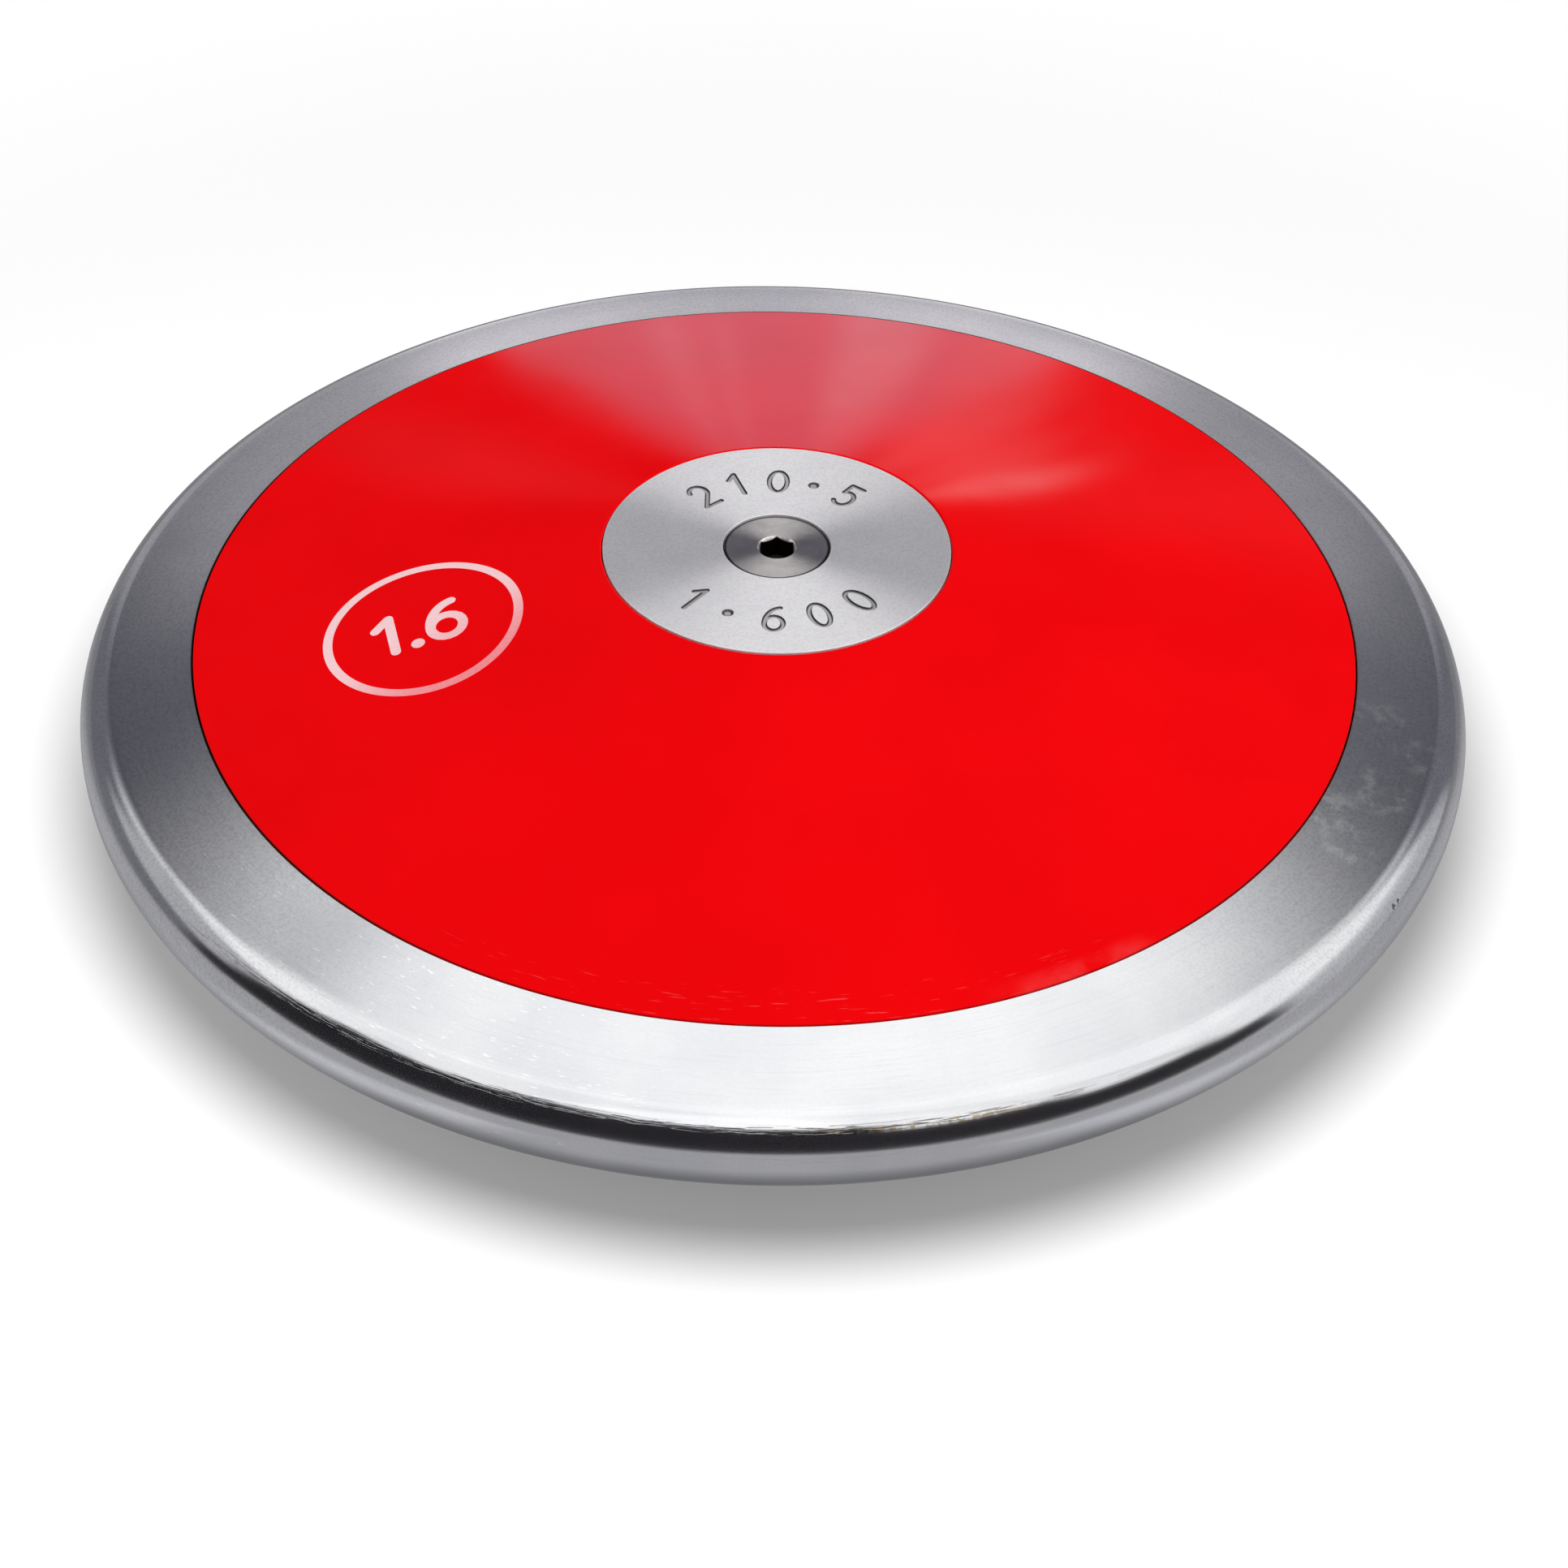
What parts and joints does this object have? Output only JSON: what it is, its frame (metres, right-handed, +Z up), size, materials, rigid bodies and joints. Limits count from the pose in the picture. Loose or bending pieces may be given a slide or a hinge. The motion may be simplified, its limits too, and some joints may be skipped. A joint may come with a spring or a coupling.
{
  "type": "throwing discus",
  "caption": "Round throwing discus with a turned steel rim, tapered moulded side plates, flush round centre plates and countersunk socket screws, thickest at its flat centre.",
  "frame": {"origin": "centre of the lower flat face, on the surface that the discus rests on", "axes": "+Z up along the axis of the discus; X and Y across it, with the screw sockets' corners towards +Y and -Y"},
  "size_m": [0.2106, 0.2106, 0.0425],
  "materials": {
    "rim_steel": "turned steel with fine circumferential lines and small knocks from use",
    "side_plate_plastic": "satin-gloss moulded red ABS",
    "centre_plate_aluminium": "turned aluminium with fine circumferential lines",
    "screw_steel": "turned steel, slightly browned",
    "zinc_plated_steel": "zinc plated",
    "packing_rubber": "matt black rubber"
  },
  "bodies": {
    "root": {"rim": "rim_steel", "side_plate_top": "side_plate_plastic", "side_plate_bottom": "side_plate_plastic", "centre_plate_top": "centre_plate_aluminium", "centre_plate_bottom": "centre_plate_aluminium", "centre_screw_top": "screw_steel", "centre_screw_bottom": "screw_steel", "core_hub": "zinc_plated_steel", "trim_washer_1": "zinc_plated_steel", "trim_washer_2": "zinc_plated_steel", "trim_washer_3": "zinc_plated_steel", "packing_ring_top": "packing_rubber", "packing_ring_bottom": "packing_rubber"}
  },
  "joints": []
}
